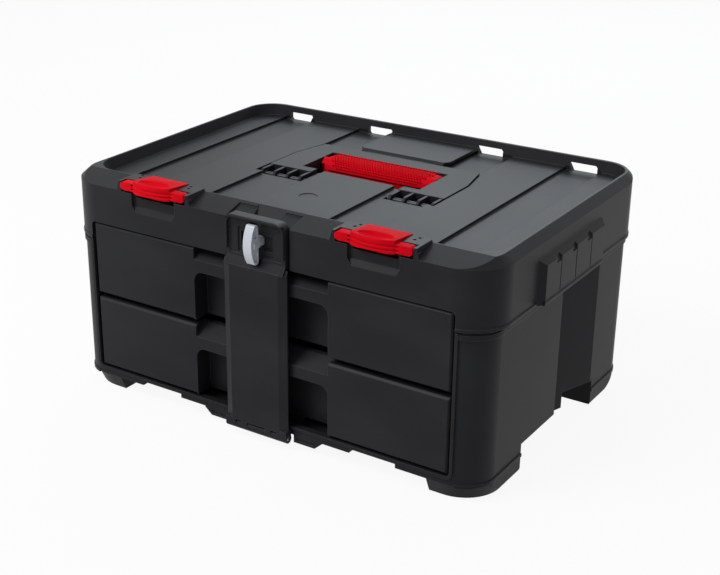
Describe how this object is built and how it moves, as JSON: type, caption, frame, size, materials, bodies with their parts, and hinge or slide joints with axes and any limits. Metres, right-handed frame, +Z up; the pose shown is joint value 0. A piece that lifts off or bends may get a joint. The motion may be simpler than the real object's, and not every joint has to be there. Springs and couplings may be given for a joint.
{
  "type": "portable tool box with drawers",
  "caption": "Portable black plastic tool box: ball-bearing drawers under a recessed stacking deck, red latches, swing-down lock bar with turn knob and fold-flat carry handle.",
  "frame": {"origin": "centre of the bounding box's underside, on the ground between the feet", "axes": "+X to the box's width, +Y to its back (drawers open towards -Y), +Z up"},
  "size_m": [0.4946, 0.3508, 0.2395],
  "materials": {
    "dark_plastic": "moulded, fine grain",
    "black_plastic": "moulded, fine grain",
    "red_plastic": "moulded, satin",
    "grey_plastic": "moulded, satin",
    "zinc_steel": "zinc plated, rolled",
    "ball_steel": "polished and oiled",
    "black_steel": "blackened",
    "bright_steel": "drawn, bright"
  },
  "bodies": {
    "case": {"case_body": "dark_plastic", "top_cover": "black_plastic", "cover_screws": "bright_steel", "handle_pin_left": "black_steel", "handle_pin_right": "black_steel", "latch_pin_left": "bright_steel", "latch_pin_right": "bright_steel", "lock_bar_pin": "bright_steel", "upper_left_outer_slide": "zinc_steel", "upper_right_outer_slide": "zinc_steel", "lower_left_outer_slide": "zinc_steel", "lower_right_outer_slide": "zinc_steel"},
    "lock_bar_arm": {"lock_bar": "black_plastic"},
    "lock_turn": {"lock_knob": "grey_plastic", "knob_washer": "bright_steel", "knob_screw": "bright_steel"},
    "carry_handle_frame": {"carry_handle": "black_plastic", "handle_grip": "red_plastic"},
    "left_latch": {"latch_left": "red_plastic"},
    "right_latch": {"latch_right": "red_plastic"},
    "upper_drawer": {"upper_tray": "dark_plastic", "upper_front": "black_plastic", "upper_front_screws": "bright_steel", "upper_divider_left": "dark_plastic", "upper_divider_right": "dark_plastic", "upper_left_inner_slide": "zinc_steel", "upper_right_inner_slide": "zinc_steel"},
    "upper_slide_middles": {"upper_left_middle_slide": "zinc_steel", "upper_left_ball_cages": "ball_steel", "upper_left_balls": "ball_steel", "upper_right_middle_slide": "zinc_steel", "upper_right_ball_cages": "ball_steel", "upper_right_balls": "ball_steel"},
    "lower_drawer": {"lower_tray": "dark_plastic", "lower_front": "black_plastic", "lower_front_screws": "bright_steel", "lower_divider_left": "dark_plastic", "lower_divider_right": "dark_plastic", "lower_left_inner_slide": "zinc_steel", "lower_right_inner_slide": "zinc_steel"},
    "lower_slide_middles": {"lower_left_middle_slide": "zinc_steel", "lower_left_ball_cages": "ball_steel", "lower_left_balls": "ball_steel", "lower_right_middle_slide": "zinc_steel", "lower_right_ball_cages": "ball_steel", "lower_right_balls": "ball_steel"}
  },
  "joints": [
    {"name": "upper_drawer_slide", "type": "slide", "parent": "case", "child": "upper_drawer", "axis": [0, -1, 0], "range_m": [0, 0.21]},
    {"name": "lower_drawer_slide", "type": "slide", "parent": "case", "child": "lower_drawer", "axis": [0, -1, 0], "range_m": [0, 0.085]},
    {"name": "upper_middle_slide", "type": "slide", "parent": "case", "child": "upper_slide_middles", "axis": [0, -1, 0], "range_m": [0, 0.105]},
    {"name": "lower_middle_slide", "type": "slide", "parent": "case", "child": "lower_slide_middles", "axis": [0, -1, 0], "range_m": [0, 0.0425]},
    {"name": "lock_bar_hinge", "type": "hinge", "parent": "case", "child": "lock_bar_arm", "pos_m": [0, -0.1629, 0.013], "axis": [1, 0, 0], "range_deg": [0, 90.05]},
    {"name": "knob_turn", "type": "hinge", "parent": "case", "child": "lock_turn", "pos_m": [0, -0.1624, 0.2065], "axis": [0, 1, 0], "range_deg": [0, 90]},
    {"name": "handle_lift", "type": "hinge", "parent": "case", "child": "carry_handle_frame", "pos_m": [0, -0.0094, 0.2155], "axis": [1, 0, 0], "range_deg": [0, 90]},
    {"name": "left_latch_swing", "type": "hinge", "parent": "case", "child": "left_latch", "pos_m": [-0.125, -0.1564, 0.2315], "axis": [1, 0, 0], "range_deg": [0, 95]},
    {"name": "right_latch_swing", "type": "hinge", "parent": "case", "child": "right_latch", "pos_m": [0.125, -0.1564, 0.2315], "axis": [1, 0, 0], "range_deg": [0, 95]}
  ],
  "couplings": [
    {"joint": "lower_drawer_slide", "follows": "upper_drawer_slide", "ratio": 0.40475},
    {"joint": "upper_middle_slide", "follows": "upper_drawer_slide", "ratio": 0.5},
    {"joint": "lower_middle_slide", "follows": "upper_drawer_slide", "ratio": 0.20237},
    {"joint": "lock_bar_hinge", "follows": "upper_drawer_slide", "rad_per_m": 7.48}
  ]
}
